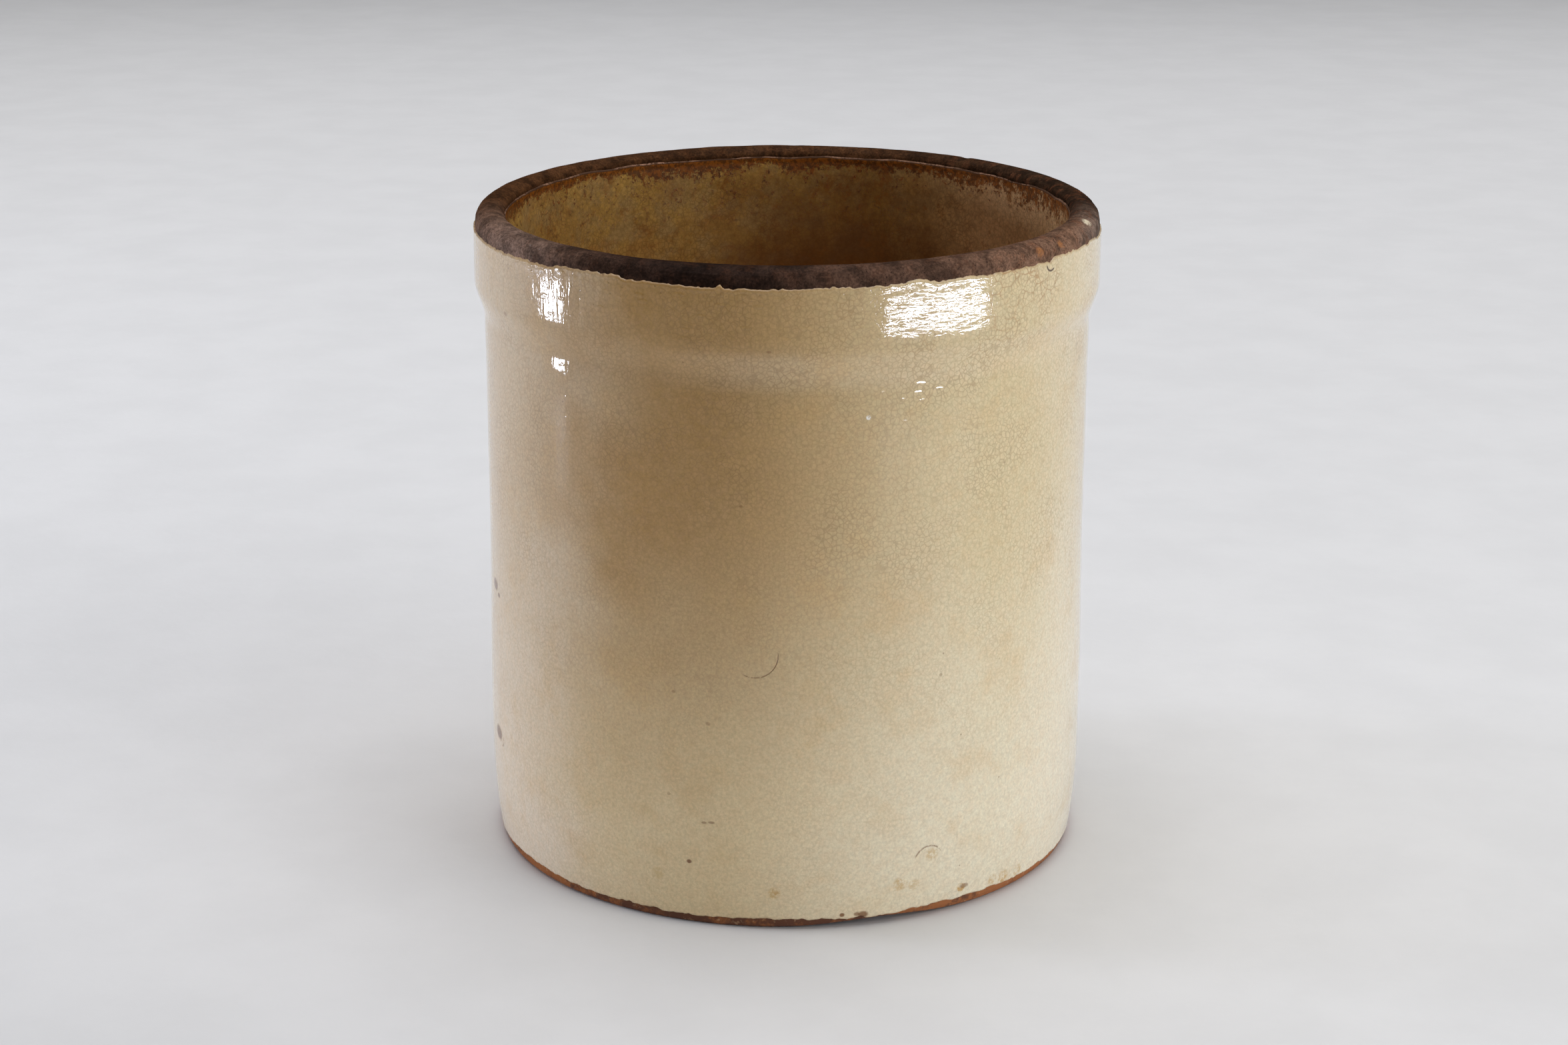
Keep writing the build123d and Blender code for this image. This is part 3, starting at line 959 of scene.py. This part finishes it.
def floor():
    """A plain pale floor, wide enough to fill every view."""
    outline = bmesh.new()
    bmesh.ops.create_circle(outline, cap_ends=True, segments=96, radius=5.0)
    mesh = bpy.data.meshes.new("floor")
    outline.to_mesh(mesh)
    outline.free()
    made = bpy.data.objects.new("floor", mesh)
    bpy.context.scene.collection.objects.link(made)
    look = Material("floor")
    tone = look.ramp(look.noise(60 * MM, 4.0, 0.6), 0.3, 0.7, 0.71, 0.74)
    normal = look.bump(look.noise(6 * MM, 3.0, 0.6), 0.15 * MM)
    made.data.materials.append(look.finish(look.grey(tone), normal, Roughness=0.7))


def panel(name, place, target, size, watts, colour, spread=180, lights_up=True, shows=True):
    """A soft rectangular light that shines from a place towards a target. One that only lights
    things up doesn't show in the glaze, and one that only shows there lights nothing up."""
    light = bpy.data.lights.new(name, "AREA")
    light.shape = "RECTANGLE"
    light.size, light.size_y = size
    light.energy = watts
    light.color = colour
    light.spread = math.radians(spread)
    made = bpy.data.objects.new(name, light)
    bpy.context.scene.collection.objects.link(made)
    made.location = place
    made.rotation_euler = (Vector(target) - Vector(place)).to_track_quat("-Z", "Y").to_euler()
    made.visible_camera = False
    made.visible_diffuse = lights_up
    made.visible_glossy = shows


def lights():
    """Soft window light from each side, with low window panes that only show in the glaze, a softer
    light from the right of the camera, and a light overhead."""
    right, left = (1.430, -1.034, 0.200), (-1.716, 0.176, 0.230)
    panel("window_right", right, (0, 0, 0.130), (1.10, 0.34), 14.6, (0.95, 1.0, 1.07), shows=False)
    panel("window_left", left, (0, 0, 0.120), (0.374, 0.44), 17.0, (0.91, 0.97, 1.14), shows=False)
    near_right, near_left = (0.629, -0.499), (-0.785, -0.030)
    panes = (("pane_right", near_right, 0.065, (0.556, 0.027), 2.3),
             ("pane_left", near_left, 0.062, (0.100, 0.026), 0.36),
             ("pane_left_low", near_left, 0.028, (0.085, 0.015), 0.15))
    for name, (x, y), level, size, watts in panes:
        panel(name, (x, y, level), (0, 0, level), size, watts, (0.93, 0.97, 1.10), lights_up=False)
    panel("key", (0.85, -0.60, 0.85), (0, 0, 0.2), (0.9, 0.7), 3.9, (1.0, 0.98, 0.96))
    panel("overhead", (0.2, 1.1, 2.4), (0.2, 1.1, 0), (4.4, 3.4), 41.0, (1.0, 1.0, 1.02), spread=75)
    world = bpy.data.worlds.new("studio")
    world.use_nodes = True
    background = world.node_tree.nodes["Background"]
    background.inputs["Color"].default_value = (0.90, 0.88, 0.86, 1)
    background.inputs["Strength"].default_value = 0.03
    bpy.context.scene.world = world


def camera():
    """The camera, in front of the crock and a little above it."""
    data = bpy.data.cameras.new("camera")
    data.lens = 70.4
    data.sensor_width = 36.0
    made = bpy.data.objects.new("camera", data)
    bpy.context.scene.collection.objects.link(made)
    made.location = (-0.0008, -1.1087, 0.4574)
    degrees_down, degrees_rolled = 17.04, 0.18
    pitch = Matrix.Rotation(math.radians(90 - degrees_down), 3, "X")
    roll = Matrix.Rotation(math.radians(degrees_rolled), 3, "Z")
    made.rotation_euler = (pitch @ roll).to_euler()
    bpy.context.scene.camera = made


def add_piece(piece, look, node):
    """Gives a piece its material, hangs it under the root body, and hides the CAD node that it stands
    for.
    """
    piece.data.materials.append(look)
    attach(piece, "root")
    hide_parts(node)


camera()
lights()
floor()
add_piece(clay_body(), clay_look(), "stoneware_body")
add_piece(outer_glaze(), outer_glaze_look(), "outer_glaze")
add_piece(inner_glaze(), inner_glaze_look(), "inner_glaze")
add_piece(rim_slip(), slip_look(), "rim_slip")

bpy.context.scene.view_settings.view_transform = "Standard"
